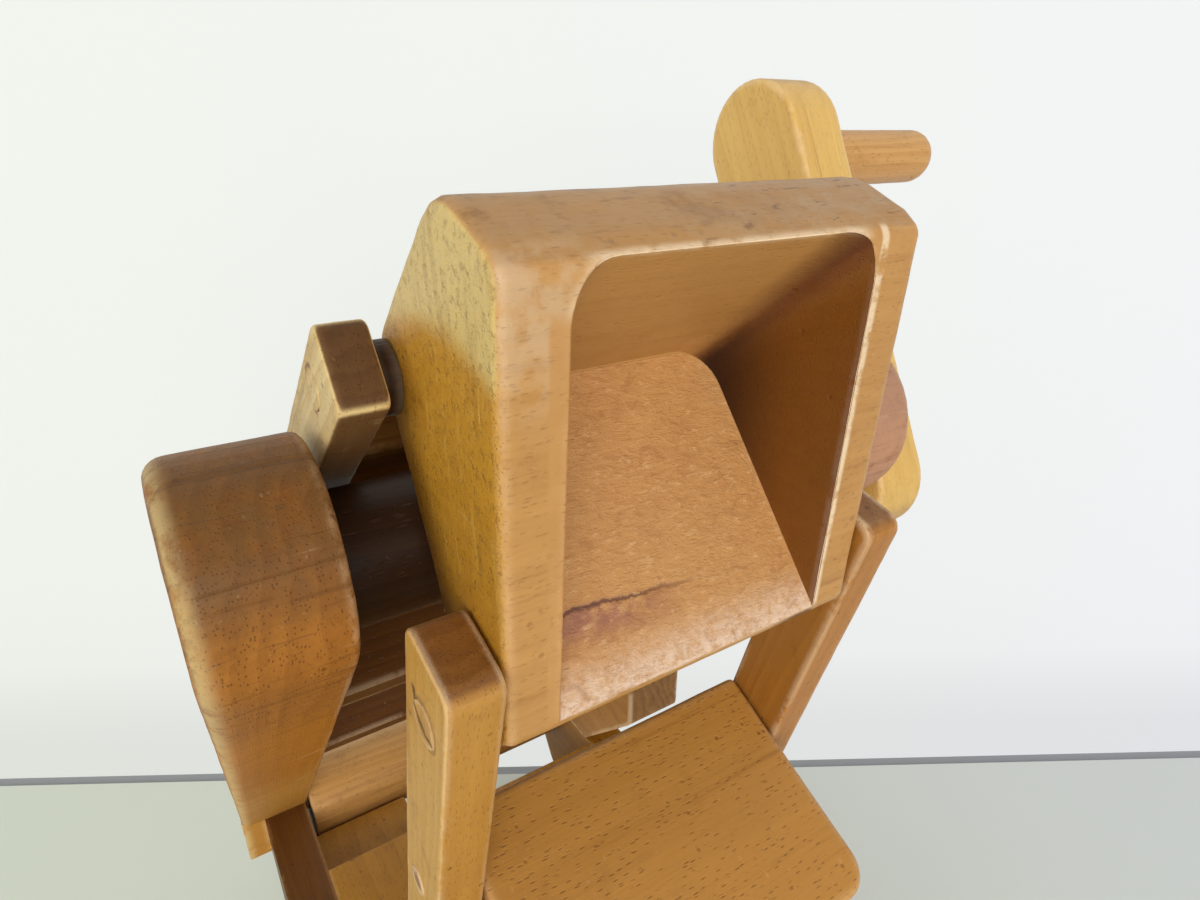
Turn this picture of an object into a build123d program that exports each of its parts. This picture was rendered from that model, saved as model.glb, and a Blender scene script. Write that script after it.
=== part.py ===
from build123d import *
from math import cos, sin, tan, radians
import os

os.makedirs("parts", exist_ok=True)

# Frame: +Z up, X across (crank side is +X), -Y is the side the bucket opens to.
# Origin: on the base board's underside, midway between the two side bars. All mm.

# ---- driving dimensions --------------------------------------------------
bucket_half = 36.0        # half width of the hollowed block
bucket_wall = 9.0         # thickness of its side walls
arm_thick = 9.1           # front arms
arm_width = 15.8
arm_lean = 14.9           # degrees from upright, foot further back
side_gap = 0.3            # bucket side to front arm
bar_slope = 50.0          # degrees below level, falling to the back
bar_radius = 19.5         # half width of the heavy bars, and their round top end
rail_top = 74.0
rail_bottom = 33.0
rail_front = -94.0
rail_rear_top = 95.6
rail_rear_bottom = 69.0
push_gap = 4.0            # bucket side to push bar, filled by the spacer
push_thick = 7.8
push_in = bucket_half + push_gap          # push bars, inner face
push_out = push_in + push_thick
bar_gap = 2.2             # push bar to heavy side bar
bar_thick = 22.0
bar_in = push_out + bar_gap               # heavy side bars, inner face
bar_out = bar_in + bar_thick
rail_set = 1.0            # rail's inner face beyond the side bar's
rail_thick = 13.5
rail_in = bar_in + rail_set
rail_out = rail_in + rail_thick
drum_clear = 1.2          # drum end to side bar
roller_clear = 0.4        # roller end to side bar
push_over = 5.9            # push bar edge above its peg, square to the bar
push_under = 8.6           # push bar edge below its peg
push_slope = 38.5         # degrees below level, falling to the back
push_tail = 82.0          # front peg to rear tie, centre to centre
push_nose = 11.7          # front peg to front end
run = 0.08                # radial clearance of a turning wooden pin

pivot = (-67.5, 220.5)    # bucket pegs (y, z)
link = (-39.1, 263.3)     # push bar pegs in the bucket's back corner (y, z)
shaft = (-32.1, 229.8)    # crank shaft (y, z)
axle = (79.5, 66.0)       # rear roller axle (y, z)

shaft_r = 5.0
drum_r = 12.4
drum_half = bar_in - drum_clear
pivot_r = 4.0
link_r = 3.5
axle_r = 3.0
roller_r = 14.2
roller_half = bar_in - roller_clear
washer_gap = 0.15

# directions in the side view, as (y, z)
bar_d = (cos(radians(bar_slope)), -sin(radians(bar_slope)))
bar_n = (sin(radians(bar_slope)), cos(radians(bar_slope)))
push_d = (cos(radians(push_slope)), -sin(radians(push_slope)))
push_n = (sin(radians(push_slope)), cos(radians(push_slope)))
arm_d = (sin(radians(arm_lean)), -cos(radians(arm_lean)))
arm_n = (cos(radians(arm_lean)), sin(radians(arm_lean)))


def at(base, along, direction, across=0.0, normal=(0.0, 0.0)):
    """A side-view point: base plus a distance along and across a direction."""
    return (
        base[0] + along * direction[0] + across * normal[0],
        base[1] + along * direction[1] + across * normal[1],
    )


def side(x):
    """Side-view sketch plane at X = x: local x is Y, local y is Z, normal +X."""
    return Plane(origin=(x, 0, 0), x_dir=(0, 1, 0), z_dir=(1, 0, 0))


def save(part, name):
    part.label = name
    export_step(part, "parts/" + name + ".step")


def x_edges(part_edges):
    return part_edges.filter_by(Axis.X)


# ---- base: two rails, floor, base board ---------------------------------------
for sign, word in ((-1, "left"), (1, "right")):
    x_low = min(sign * rail_in, sign * rail_out)
    with BuildPart() as rail:
        with BuildSketch(side(x_low)):
            with BuildLine():
                Polyline(
                    (rail_front, rail_bottom),
                    (rail_rear_bottom, rail_bottom),
                    (rail_rear_top, rail_top),
                    (rail_front, rail_top),
                    close=True,
                )
            make_face()
            fillet(vertices().sort_by(Axis.Y)[:2], 14)
        extrude(amount=rail_out - rail_in)
        chamfer(x_edges(edges()).sort_by(Axis.Z)[-1:], 0.8)
        with BuildSketch(side(x_low)):
            with Locations(axle):
                Circle(axle_r)
        extrude(amount=rail_out - rail_in, mode=Mode.SUBTRACT)
    save(rail.part, "rail_" + word)

floor_thick = 10.0
floor_front = -88.0
floor_rear = 40.0
arm_foot_y = pivot[0] + (pivot[1] - rail_top) * tan(radians(arm_lean))
arm_in = bucket_half + side_gap
arm_out = arm_in + arm_thick
arm_mid = (arm_in + arm_out) / 2
tenon_r = 3.0
tenon_deep = 7.0

with BuildPart() as floor_board:
    with BuildSketch(Plane.XY.offset(rail_top - floor_thick)):
        with Locations((0, (floor_front + floor_rear) / 2)):
            Rectangle(2 * rail_in, floor_rear - floor_front)
    extrude(amount=floor_thick)
    fillet(x_edges(edges()).sort_by(Axis.Y)[-2:], 1.2)
    with BuildSketch(Plane.XY.offset(rail_top - tenon_deep)):
        with Locations((-arm_mid, arm_foot_y), (arm_mid, arm_foot_y)):
            Circle(tenon_r)
    extrude(amount=tenon_deep, mode=Mode.SUBTRACT)
save(floor_board.part, "floor_board")

base_thick = 12.0
base_rear = 88.0

with BuildPart() as base_board:
    with BuildSketch(Plane.XY):
        with Locations((0, (rail_front + base_rear) / 2)):
            RectangleRounded(2 * rail_out, base_rear - rail_front, 6)
    extrude(amount=base_thick)
    fillet(faces().sort_by(Axis.Z)[-1].edges(), 1.5)
    chamfer(faces().sort_by(Axis.Z)[0].edges(), 0.8)
save(base_board.part, "base_board")

for name, y_mid in (("front_bearer", -66.0), ("rear_bearer", 50.0)):
    with BuildPart() as bearer:
        with BuildSketch(Plane.XY.offset(base_thick)):
            with Locations((0, y_mid)):
                Rectangle(2 * rail_out - 6, 24)
        extrude(amount=rail_bottom - base_thick)
        chamfer(edges().filter_by(Axis.Z), 1.5)
    save(bearer.part, name)

# small ledge glued behind the floor on the left, level with its underside
with BuildPart() as ledge_block:
    with BuildSketch(Plane.XY.offset(44)):
        with Locations((-(rail_in + 18) / 2, (floor_rear + 64) / 2)):
            Rectangle(rail_in - 18, 64 - floor_rear)
    extrude(amount=20)
    chamfer(x_edges(edges()).sort_by(Axis.Z)[-2:], 0.6)
save(ledge_block.part, "ledge_block")

# ---- heavy side bars -----------------------------------------------------
bar_axis_off = -1.7
nose = at(shaft, -11.5, bar_d, bar_axis_off, bar_n)
far = at(nose, 260, bar_d)
mortise = 8.0
upper_mid = (-0.7, 182.5)
lower_mid = (44.4, 127.4)
upper_size = (12.0, 15.0)
lower_size = (12.0, 13.0)
lap_bottom = rail_top - 17.0
lap_front = 71.2
rake = ((rail_rear_top - rail_rear_bottom) / (rail_top - rail_bottom))

for sign, word in ((-1, "left"), (1, "right")):
    x_low = min(sign * bar_in, sign * bar_out)
    with BuildPart() as bar:
        with BuildSketch(side(x_low)):
            with Locations(nose):
                Circle(bar_radius)
            with BuildLine():
                Polyline(
                    at(nose, 0, bar_d, -bar_radius, bar_n),
                    at(far, 0, bar_d, -bar_radius, bar_n),
                    at(far, 0, bar_d, bar_radius, bar_n),
                    at(nose, 0, bar_d, bar_radius, bar_n),
                    close=True,
                )
            make_face()
            # seat on the rail top, and the raked tail in line with the rail's end
            with BuildLine():
                Polyline(
                    (-60, rail_top),
                    (rail_rear_top, rail_top),
                    (rail_rear_top + 60 * rake, rail_top + 60),
                    (300, rail_top + 60),
                    (300, -120),
                    (-60, -120),
                    close=True,
                )
            make_face(mode=Mode.SUBTRACT)
        extrude(amount=bar_out - bar_in)
        # cheek that laps down over the outside of the rail
        x_cheek = rail_out if sign > 0 else -bar_out
        with BuildSketch(side(x_cheek)):
            with BuildLine():
                Polyline(
                    (lap_front, rail_top + 1),
                    (lap_front, lap_bottom),
                    (rail_rear_top - (rail_top - lap_bottom) * rake, lap_bottom),
                    (rail_rear_top + rake, rail_top + 1),
                    close=True,
                )
            make_face()
        extrude(amount=bar_out - rail_out)
        outer = faces().filter_by(Axis.X).sort_by(Axis.X)
        rim = outer[0] if sign < 0 else outer[-1]
        fillet(rim.edges(), 3.0)
        inner = faces().filter_by(Axis.X).sort_by(Axis.X)
        rim = inner[-1] if sign < 0 else inner[0]
        chamfer(rim.edges().sort_by(Axis.Z)[1:], 0.7)
        with BuildSketch(side(x_low)):
            with Locations(shaft):
                Circle(shaft_r + run)
            with Locations(axle):
                Circle(axle_r)
        extrude(amount=bar_out - bar_in, mode=Mode.SUBTRACT)
        x_mortise = bar_in if sign > 0 else -bar_in - mortise
        with BuildSketch(side(x_mortise)):
            with Locations(Location(upper_mid + (0,), (0, 0, -bar_slope))):
                Rectangle(*upper_size)
            with Locations(Location(lower_mid + (0,), (0, 0, -bar_slope))):
                Rectangle(*lower_size)
        extrude(amount=mortise, mode=Mode.SUBTRACT)
    save(bar.part, "side_bar_" + word)

for name, mid, size in (
    ("upper_stretcher", upper_mid, upper_size),
    ("lower_stretcher", lower_mid, lower_size),
):
    with BuildPart() as stretcher:
        with BuildSketch(side(-bar_in - mortise)):
            with Locations(Location(mid + (0,), (0, 0, -bar_slope))):
                Rectangle(*size)
        extrude(amount=2 * (bar_in + mortise))
    save(stretcher.part, name)

# knee block in the corner between the crank-side bar and its rail
seat = 0.05
under_a = at(shaft, 0, bar_d, bar_axis_off - bar_radius, bar_n)


def under_z(y):
    """Height of the heavy bars' underside at a given Y."""
    return under_a[1] - (y - under_a[0]) * tan(radians(bar_slope))


def under_y(z):
    return under_a[0] + (under_a[1] - z) / tan(radians(bar_slope))


with BuildPart() as knee_block:
    with BuildSketch(side(bar_in + 0.4)):
        with BuildLine():
            Polyline(
                (13, under_z(13) - seat),
                (13, 105),
                (43, rail_top),
                (under_y(rail_top) - seat, rail_top),
                close=True,
            )
        make_face()
        fillet(vertices().sort_by_distance((13, 105))[0], 4)
    extrude(amount=bar_out - bar_in - 0.8)
    chamfer(faces().filter_by(Axis.X).sort_by(Axis.X)[-1].edges(), 0.6)
save(knee_block.part, "knee_block")

# ---- rear roller on its axle --------------------------------------------
with BuildPart() as roller_axle:
    with BuildSketch(side(-bar_out)):
        with Locations(axle):
            Circle(axle_r)
    extrude(amount=2 * bar_out)
    chamfer(edges().filter_by(GeomType.CIRCLE), 0.4)
save(roller_axle.part, "roller_axle")

with BuildPart() as roller:
    with BuildSketch(side(-roller_half)):
        with Locations(axle):
            Circle(roller_r)
    extrude(amount=2 * roller_half)
    fillet(edges().filter_by(GeomType.CIRCLE), 1.0)
    with BuildSketch(side(-roller_half)):
        with Locations(axle):
            Circle(axle_r + run)
    extrude(amount=2 * roller_half, mode=Mode.SUBTRACT)
save(roller.part, "roller")

# ---- front arms, sill and sloping board ---------------------------------
arm_top = 14.2
board_slope = 24.5
board_back = (-48.0, 178.0)       # top back edge (y, z)
board_long = 50.0
board_thick = 10.0
board_d = (-cos(radians(board_slope)), -sin(radians(board_slope)))
board_n = (-sin(radians(board_slope)), cos(radians(board_slope)))
board_pin = at(board_back, 7.2, board_d, -board_thick / 2, board_n)
board_pin_r = 3.0
board_pin_deep = bucket_half / 3
arm_axial = (pivot[1] - rail_top) / cos(radians(arm_lean))

for sign, word in ((-1, "left"), (1, "right")):
    x_low = min(sign * arm_in, sign * arm_out)
    with BuildPart() as arm:
        with BuildSketch(side(x_low)):
            with BuildLine():
                Polyline(
                    at(pivot, -arm_top, arm_d, -arm_width / 2, arm_n),
                    at(pivot, arm_axial + 30, arm_d, -arm_width / 2, arm_n),
                    at(pivot, arm_axial + 30, arm_d, arm_width / 2, arm_n),
                    at(pivot, -arm_top, arm_d, arm_width / 2, arm_n),
                    close=True,
                )
            make_face()
            fillet(vertices().sort_by(Axis.Y)[-2:], 2.8)
            with Locations((0, rail_top - 40)):
                Rectangle(400, 80, mode=Mode.SUBTRACT)
        extrude(amount=arm_thick)
        rims = faces().filter_by(Axis.X).edges().sort_by(Axis.Z)[2:]
        chamfer(rims, 0.7)
        with BuildSketch(side(x_low)):
            with Locations(pivot):
                Circle(pivot_r)
            with Locations(board_pin):
                Circle(board_pin_r)
        extrude(amount=arm_thick, mode=Mode.SUBTRACT)
        with BuildSketch(Plane.XY.offset(rail_top)):
            with Locations((sign * arm_mid, arm_foot_y)):
                Circle(tenon_r)
        extrude(amount=16, mode=Mode.SUBTRACT)
    save(arm.part, "front_arm_" + word)

    with BuildPart() as tenon:
        with BuildSketch(Plane.XY.offset(rail_top - tenon_deep)):
            with Locations((sign * arm_mid, arm_foot_y)):
                Circle(tenon_r)
        extrude(amount=tenon_deep + 16)
        chamfer(edges().filter_by(GeomType.CIRCLE), 0.4)
    save(tenon.part, "arm_tenon_" + word)

    x_pin = arm_in - board_pin_deep if sign > 0 else -arm_out
    with BuildPart() as pin:
        with BuildSketch(side(x_pin)):
            with Locations(board_pin):
                Circle(board_pin_r)
        extrude(amount=arm_thick + board_pin_deep)
        chamfer(edges().filter_by(GeomType.CIRCLE), 0.3)
    save(pin.part, "board_pin_" + word)

    peg_deep = 8.0
    x_peg = arm_in - side_gap - peg_deep if sign > 0 else -arm_out
    with BuildPart() as peg:
        with BuildSketch(side(x_peg)):
            with Locations(pivot):
                Circle(pivot_r)
        extrude(amount=arm_thick + side_gap + peg_deep)
        chamfer(edges().filter_by(GeomType.CIRCLE), 0.3)
    save(peg.part, "bucket_peg_" + word)

with BuildPart() as arm_sill:
    with BuildSketch(Plane.XY.offset(rail_top)):
        with Locations((0, arm_foot_y)):
            Rectangle(2 * arm_in, 16)
    extrude(amount=14)
    chamfer(x_edges(edges()).sort_by(Axis.Z)[-2:], 1.0)
save(arm_sill.part, "arm_sill")

with BuildPart() as front_board:
    board_plane = Plane(
        origin=(0, board_back[0], board_back[1]),
        x_dir=(1, 0, 0),
        z_dir=(0, board_n[0], board_n[1]),
    )
    with BuildSketch(board_plane):
        with Locations((0, -board_long / 2)):
            Rectangle(2 * arm_in, board_long)
        fillet(vertices().sort_by(Axis.Y)[:2], 6)
        fillet(vertices().sort_by(Axis.Y)[-2:], 2)
    extrude(amount=-board_thick)
    front_edges = edges().filter_by(Axis.X).group_by(Axis.Y)[0]
    fillet(front_edges, 3.0)
    fillet(edges().filter_by(Axis.X).group_by(Axis.Y)[-1], 1.0)
    for x_hole in (-arm_in, arm_in - board_pin_deep):
        with BuildSketch(side(x_hole)):
            with Locations(board_pin):
                Circle(board_pin_r)
        extrude(amount=board_pin_deep, mode=Mode.SUBTRACT)
save(front_board.part, "front_board")

# ---- hollowed bucket -----------------------------------------------------
bucket_in = bucket_half - bucket_wall
heel_r = 9.8
wall_dir = (0.462, 0.887)                 # lower back wall, rising to the back
heel_back = (pivot[0] + heel_r * 0.887, pivot[1] - heel_r * 0.462)
heel_low = (pivot[0], pivot[1] - heel_r)
heel_mid = (
    pivot[0] + heel_r * cos(radians(-60)),
    pivot[1] + heel_r * sin(radians(-60)),
)
lip_low = (-74.6, 216.3)
lip_front = (-75.2, 217.9)
rim_top = (-78.7, 285.6)
crown = [(-71.4, 289.9), (-65.6, 292.0), (-60.2, 291.3), (-54.8, 287.5)]
back_corner = (-32.1, 267.6)

# the form of the hollow: a ceiling and a floor that meet in a deep corner
with BuildPart() as hollow_form:
    with BuildSketch(side(-bucket_in)):
        with BuildLine():
            Polyline(
                (-78.9, 286.6),
                (-45.8, 261.0),
                (-75.0, 217.9),
                (-100.0, 181.0),
                (-100.0, 302.9),
                close=True,
            )
        make_face()
    extrude(amount=2 * bucket_in)
    roof_face = faces().filter_by(lambda f: f.normal_at().Z > 0.5).sort_by(Axis.Z)[-1]
    roof_edges = roof_face.edges().filter_by(lambda e: abs(e.tangent_at(0.5).X) < 0.1)
    fillet(roof_edges, 6.0)

with BuildPart() as bucket:
    with BuildSketch(side(-bucket_half)):
        with BuildLine():
            l1 = Line(lip_front, rim_top)
            l2 = Spline([rim_top] + crown)
            l3 = Line(crown[-1], back_corner)
            l4 = Line(back_corner, heel_back)
            l5 = ThreePointArc(heel_back, heel_mid, heel_low)
            l6 = Line(heel_low, lip_low)
            l7 = Line(lip_low, lip_front)
        make_face()
        fillet(vertices().sort_by_distance(back_corner)[0], 7)
    extrude(amount=2 * bucket_half)
    flanks = faces().filter_by(Axis.X).edges()
    fillet(flanks, 1.3)
    add(hollow_form.part, mode=Mode.SUBTRACT)
    for x_hole in (-bucket_half, bucket_half - peg_deep - 0.3):
        with BuildSketch(side(x_hole)):
            with Locations(pivot):
                Circle(pivot_r + run)
        extrude(amount=peg_deep + 0.3, mode=Mode.SUBTRACT)
    link_deep = 7.5
    for x_hole in (-bucket_half, bucket_half - link_deep):
        with BuildSketch(side(x_hole)):
            with Locations(link):
                Circle(link_r)
        extrude(amount=link_deep, mode=Mode.SUBTRACT)
save(bucket.part, "bucket")

# ---- push bars pegged to the bucket's back corner -----------------------
tie = at(link, push_tail, push_d)
tie_r = 4.0
for sign, word in ((-1, "left"), (1, "right")):
    x_low = min(sign * push_in, sign * push_out)
    with BuildPart() as push_bar:
        with BuildSketch(side(x_low)):
            with BuildLine():
                Polyline(
                    at(link, -push_nose, push_d, -push_under, push_n),
                    at(link, push_tail + 8, push_d, -push_under, push_n),
                    at(link, push_tail + 8, push_d, push_over, push_n),
                    at(link, -push_nose, push_d, push_over, push_n),
                    close=True,
                )
            make_face()
            fillet(vertices().sort_by(Axis.X)[:2], 2.5)
            fillet(vertices().sort_by(Axis.X)[-2:], 6)
        extrude(amount=push_out - push_in)
        chamfer(faces().filter_by(Axis.X).edges(), 0.6)
        with BuildSketch(side(x_low)):
            with Locations(link):
                Circle(link_r + run)
            with Locations(tie):
                Circle(tie_r)
        extrude(amount=push_out - push_in, mode=Mode.SUBTRACT)
    save(push_bar.part, "push_bar_" + word)

    x_peg = bucket_half - link_deep if sign > 0 else -push_out
    with BuildPart() as link_peg:
        with BuildSketch(side(x_peg)):
            with Locations(link):
                Circle(link_r)
        extrude(amount=push_out - bucket_half + link_deep)
        chamfer(edges().filter_by(GeomType.CIRCLE), 0.3)
    save(link_peg.part, "push_peg_" + word)

    spacer_thick = push_in - bucket_half - 0.4
    x_spacer = bucket_half if sign > 0 else -bucket_half - spacer_thick
    with BuildPart() as spacer:
        with BuildSketch(side(x_spacer)):
            with Locations(link):
                Circle(6.0)
                Circle(link_r, mode=Mode.SUBTRACT)
        extrude(amount=spacer_thick)
    save(spacer.part, "push_spacer_" + word)

with BuildPart() as push_tie:
    with BuildSketch(side(-push_out)):
        with Locations(tie):
            Circle(tie_r)
    extrude(amount=2 * push_out)
    chamfer(edges().filter_by(GeomType.CIRCLE), 0.4)
save(push_tie.part, "push_tie")

# board between the two push bars, just behind the drum's top
with BuildPart() as push_board:
    with BuildSketch(side(-push_in)):
        with BuildLine():
            Polyline(
                at(link, 24, push_d, -5.0, push_n),
                at(link, 62, push_d, -5.0, push_n),
                at(link, 62, push_d, 3.0, push_n),
                at(link, 24, push_d, 3.0, push_n),
                close=True,
            )
        make_face()
        fillet(vertices(), 1.0)
    extrude(amount=2 * push_in)
save(push_board.part, "push_board")

# ---- crank ---------------------------------------------------------------
crank_gap = 1.6           # side bar to crank arm, mostly filled by the washer
crank_in = bar_out + crank_gap
crank_thick = 16.3
crank_end_r = 15.3
crank_u = (0.4477, 0.8942)
crank_low = at(shaft, -14.6, crank_u)
crank_high = at(shaft, 72.5, crank_u)
knob_at = at(shaft, 68.5, crank_u)
knob_r = 7.3
knob_root = 9.0
knob_long = 50.1          # grip beyond the crank arm
knob_end = crank_in + crank_thick + knob_long

with BuildPart() as crank_shaft:
    with BuildSketch(side(-bar_out)):
        with Locations(shaft):
            Circle(shaft_r)
    extrude(amount=bar_out + crank_in + crank_thick)
    chamfer(edges().filter_by(GeomType.CIRCLE), 0.5)
save(crank_shaft.part, "crank_shaft")

with BuildPart() as drum:
    with BuildSketch(side(-drum_half)):
        with Locations(shaft):
            Circle(drum_r)
    extrude(amount=2 * drum_half)
    fillet(edges().filter_by(GeomType.CIRCLE), 0.8)
    with BuildSketch(side(-drum_half)):
        with Locations(shaft):
            Circle(shaft_r)
    extrude(amount=2 * drum_half, mode=Mode.SUBTRACT)
save(drum.part, "drum")

with BuildPart() as crank_washer:
    with BuildSketch(side(bar_out + washer_gap)):
        with Locations(shaft):
            Circle(9.5)
            Circle(shaft_r, mode=Mode.SUBTRACT)
    extrude(amount=crank_in - bar_out - washer_gap)
save(crank_washer.part, "crank_washer")

with BuildPart() as crank_arm:
    with BuildSketch(side(crank_in)):
        with BuildLine():
            Polyline(
                at(crank_low, 0, crank_u, -crank_end_r, (-crank_u[1], crank_u[0])),
                at(crank_high, 0, crank_u, -crank_end_r, (-crank_u[1], crank_u[0])),
                at(crank_high, 0, crank_u, crank_end_r, (-crank_u[1], crank_u[0])),
                at(crank_low, 0, crank_u, crank_end_r, (-crank_u[1], crank_u[0])),
                close=True,
            )
        make_face()
        with Locations(crank_low, crank_high):
            Circle(crank_end_r)
    extrude(amount=crank_thick)
    fillet(faces().filter_by(Axis.X).edges(), 1.2)
    with BuildSketch(side(crank_in)):
        with Locations(shaft):
            Circle(shaft_r)
    extrude(amount=crank_thick, mode=Mode.SUBTRACT)
    with BuildSketch(side(crank_in + crank_thick - knob_root)):
        with Locations(knob_at):
            Circle(knob_r)
    extrude(amount=knob_root, mode=Mode.SUBTRACT)
save(crank_arm.part, "crank_arm")

with BuildPart() as crank_knob:
    with BuildSketch(side(crank_in + crank_thick - knob_root)):
        with Locations(knob_at):
            Circle(knob_r)
    extrude(amount=knob_end - crank_in - crank_thick + knob_root)
    fillet(edges().filter_by(GeomType.CIRCLE).sort_by(Axis.X)[-1], 5.5)
save(crank_knob.part, "crank_knob")
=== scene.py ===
from math import cos, sin, radians, pi

import bmesh
import bpy
from mathutils import Matrix, Vector
from mathutils import noise as hills


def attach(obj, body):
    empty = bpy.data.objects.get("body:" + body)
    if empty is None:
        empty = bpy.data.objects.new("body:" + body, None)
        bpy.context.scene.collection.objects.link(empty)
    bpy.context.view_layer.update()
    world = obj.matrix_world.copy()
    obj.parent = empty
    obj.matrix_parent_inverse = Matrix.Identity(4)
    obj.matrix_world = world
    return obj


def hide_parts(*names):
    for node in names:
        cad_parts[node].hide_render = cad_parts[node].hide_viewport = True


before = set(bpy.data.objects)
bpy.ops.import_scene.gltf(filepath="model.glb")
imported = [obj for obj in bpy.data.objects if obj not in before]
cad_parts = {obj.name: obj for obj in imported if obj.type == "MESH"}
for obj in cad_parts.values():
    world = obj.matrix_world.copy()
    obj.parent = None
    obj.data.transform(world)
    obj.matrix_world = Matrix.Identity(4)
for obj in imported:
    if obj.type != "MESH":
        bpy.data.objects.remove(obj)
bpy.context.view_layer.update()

MM = 0.001

# side-view points as (y, z) in mm, and slopes in degrees below level to the back
PIVOT = (-67.5, 220.5)      # bucket pegs
LINK = (-39.1, 263.3)       # push bar pegs
SHAFT = (-32.1, 229.8)      # crank shaft
HOLLOW_DEEP = (-45.8, 261.0)
HOLLOW_TOP = (-78.9, 286.6)
HOLLOW_LIP = (-75.0, 217.9)
PIVOT_M = (PIVOT[0] * MM, PIVOT[1] * MM)
LINK_M = (LINK[0] * MM, LINK[1] * MM)
BAR_SLOPE, PUSH_SLOPE, ARM_LEAN, BOARD_SLOPE = 50, 38.5, 14.9, 24.5

# where pieces stand along X, in mm: half widths, or inner and outer faces
BUCKET_HALF = 36
MOUTH_HALF, DEEP_HALF = 27, 22
HEEL_RADIUS = 9.8           # bucket's rounded lower back, about its pegs
ARM_IN, ARM_OUT = 36.3, 45.4
PUSH_IN, PUSH_OUT = 40.0, 47.8
BAR_IN, BAR_OUT = 50, 72
RAIL_OUT = 64.5
BAR_RADIUS = 19.5
BAR_TAIL, BAR_SEAT = 95.6, 74.0     # tail's lower corner (y), and top of the rails and floor (z)
CRANK_IN, CRANK_OUT = 73.65, 89.85
CRANK_RADIUS = 15.3
KNOB_IN, KNOB_END, KNOB_RADIUS = 81.0, 139.7, 7.25
SHY = 0.05                  # how far a dressed face stays inside its solid


# ---- small helpers for node trees ------------------------------------------
def put(tree, kind, ins=(), **props):
    """A shader node with its properties set and its sockets linked or filled."""
    n = tree.nodes.new("ShaderNode" + kind)
    for key, value in props.items():
        setattr(n, key, value)
    for key, value in dict(ins).items():
        if isinstance(value, bpy.types.NodeSocket):
            tree.links.new(value, n.inputs[key])
        else:
            n.inputs[key].default_value = value
    return n


def calc(tree, op, a, b=0.0, c=0.0, clamp=False):
    return put(tree, "Math", {0: a, 1: b, 2: c}, operation=op, use_clamp=clamp).outputs[0]


def spread(tree, value, low, high, to_low=0.0, to_high=1.0, kind="SMOOTHSTEP"):
    n = put(tree, "MapRange", {"Value": value, "From Min": low, "From Max": high,
                               "To Min": to_low, "To Max": to_high}, interpolation_type=kind)
    return n.outputs["Result"]


def mix(tree, fac, a, b):
    return put(tree, "Mix", {0: fac, 6: a, 7: b}, data_type="RGBA").outputs[2]


def both(tree, *masks):
    """The product of masks and plain numbers."""
    out = masks[0]
    for m in masks[1:]:
        out = calc(tree, "MULTIPLY", out, m)
    return out


def tint(tree, col, colour, *masks):
    """Lays a colour over col, as strongly as the product of the masks says."""
    return mix(tree, both(tree, *masks), col, colour)


def parts(tree, vector):
    return put(tree, "SeparateXYZ", {0: vector}).outputs[:3]


def normal_parts(tree):
    return parts(tree, put(tree, "TexCoord").outputs["Normal"])


def apart(tree, here, y, z):
    """How far a place is, in the side view, from the line across the toy at y and z."""
    deep, high = parts(tree, here)[1:]
    flat = put(tree, "CombineXYZ", {0: 0.0, 1: deep, 2: high}).outputs[0]
    return put(tree, "VectorMath", {0: flat, 1: (0.0, y, z)}, operation="DISTANCE").outputs["Value"]


def noise(tree, vector, scale, detail=3.0, rough=0.55, warp=0.0):
    n = put(tree, "TexNoise", {"Vector": vector, "Scale": scale, "Detail": detail,
                               "Roughness": rough, "Distortion": warp})
    return n.outputs["Fac"]


def stretch(tree, vector, scale, move=(0.0, 0.0, 0.0), turn=(0.0, 0.0, 0.0)):
    n = put(tree, "Mapping", {"Vector": vector, "Location": move, "Rotation": turn, "Scale": scale})
    return n.outputs[0]


def group(name, ins, outs):
    g = bpy.data.node_groups.new(name, "ShaderNodeTree")
    for label, kind, value in ins:
        s = g.interface.new_socket(label, in_out="INPUT", socket_type="NodeSocket" + kind)
        s.default_value = value
    for label, kind in outs:
        g.interface.new_socket(label, in_out="OUTPUT", socket_type="NodeSocket" + kind)
    return g, g.nodes.new("NodeGroupInput").outputs, g.nodes.new("NodeGroupOutput").inputs


def srgb(r, g, b):
    """A colour read as 0 to 255 screen values, in the linear values Blender uses."""
    out = []
    for v in (r, g, b):
        v = v / 255
        out.append(v / 12.92 if v <= 0.04045 else ((v + 0.055) / 1.055) ** 2.4)
    return (out[0], out[1], out[2], 1.0)


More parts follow.
